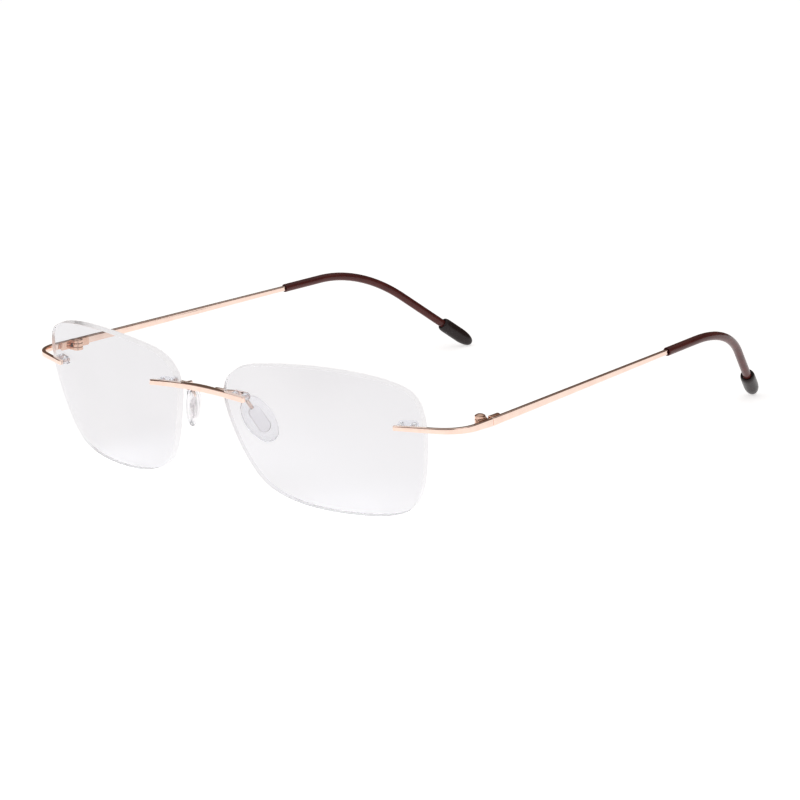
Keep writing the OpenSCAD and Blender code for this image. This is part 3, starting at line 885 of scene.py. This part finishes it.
def floor():
    """Wide white floor that also glows a little, so that its shadows stay pale."""
    half, glow = 4, 0.65
    mesh = bpy.data.meshes.new("floor")
    mesh.from_pydata([(-half, -half, 0), (half, -half, 0), (half, half, 0), (-half, half, 0)],
                     [], [(0, 1, 2, 3)])
    n = Nodes("floor_white")
    n.set(Roughness=0.6, Base_Color=(0.9, 0.9, 0.9, 1))
    n.set(Emission_Color=(1, 1, 1, 1), Emission_Strength=glow)
    mesh.materials.append(n.material)
    made = bpy.data.objects.new("floor", mesh)
    bpy.context.scene.collection.objects.link(made)


def area_light(name, at, aim, size, power):
    """Square lamp at one point, facing another."""
    lamp = bpy.data.lights.new(name, "AREA")
    lamp.shape = "SQUARE"
    lamp.size = size
    lamp.energy = power
    made = bpy.data.objects.new(name, lamp)
    made.location = at
    made.rotation_euler = (Vector(aim) - Vector(at)).to_track_quat("-Z", "Y").to_euler()
    made.visible_camera = False
    bpy.context.scene.collection.objects.link(made)


def studio_air():
    """Dim warm surroundings under a bright ceiling, for reflections; the camera and the rays
    that pass through the lenses see plain white."""
    horizon, ceiling = (0.13, 0.09, 0.07, 1), (0.6, 0.6, 0.6, 1)
    rise_from, rise_to = 0.45, 0.85
    world = bpy.data.worlds.new("studio")
    world.use_nodes = True
    tree = world.node_tree
    place = tree.nodes.new("ShaderNodeTexCoord")
    split = tree.nodes.new("ShaderNodeSeparateXYZ")
    rise = tree.nodes.new("ShaderNodeMapRange")
    rise.interpolation_type = "SMOOTHSTEP"
    rise.inputs["From Min"].default_value = rise_from
    rise.inputs["From Max"].default_value = rise_to
    air = tree.nodes.new("ShaderNodeMixRGB")
    air.inputs["Color1"].default_value = horizon
    air.inputs["Color2"].default_value = ceiling
    light_path = tree.nodes.new("ShaderNodeLightPath")
    seen = tree.nodes.new("ShaderNodeMath")
    seen.operation = "MAXIMUM"
    shown = tree.nodes.new("ShaderNodeMixRGB")
    shown.inputs["Color2"].default_value = (1, 1, 1, 1)
    for source, target in (
            (place.outputs["Generated"], split.inputs[0]),
            (split.outputs["Z"], rise.inputs["Value"]),
            (rise.outputs[0], air.inputs["Fac"]),
            (air.outputs[0], shown.inputs["Color1"]),
            (light_path.outputs["Is Camera Ray"], seen.inputs[0]),
            (light_path.outputs["Is Transmission Ray"], seen.inputs[1]),
            (seen.outputs[0], shown.inputs["Fac"]),
            (shown.outputs[0], tree.nodes["Background"].inputs["Color"])):
        tree.links.new(source, target)
    bpy.context.scene.world = world


def camera(target, azimuth, elevation, roll, distance, focal):
    """Camera that looks at target; azimuth 0 looks along +Y, and 90 along -X."""
    a, e = radians(azimuth), radians(elevation)
    back = Vector((sin(a) * cos(e), -cos(a) * cos(e), sin(e)))
    lens_data = bpy.data.cameras.new("camera")
    lens_data.lens = focal
    lens_data.clip_start = 0.01
    made = bpy.data.objects.new("camera", lens_data)
    turn = back.to_track_quat("Z", "Y").to_matrix().to_4x4()
    tilt = Matrix.Rotation(radians(roll), 4, "Z")
    made.matrix_world = Matrix.Translation(target + distance * back) @ turn @ tilt
    bpy.context.scene.collection.objects.link(made)
    bpy.context.scene.camera = made


floor()
studio_air()
area_light("front_softbox", at=(-0.5, -1.0, 0.9), aim=(0, -0.03, 0), size=0.8, power=3)
area_light("side_softbox", at=(1.3, -0.18, 0.48), aim=(0.02, 0, 0.02), size=0.9, power=2.6)
camera(target=Vector((18.3, -27.2, 15.7)) * MM, azimuth=41.31, elevation=14.19, roll=-1.43,
       distance=808.6 * MM, focal=151.96)
bpy.context.scene.view_settings.view_transform = "Standard"
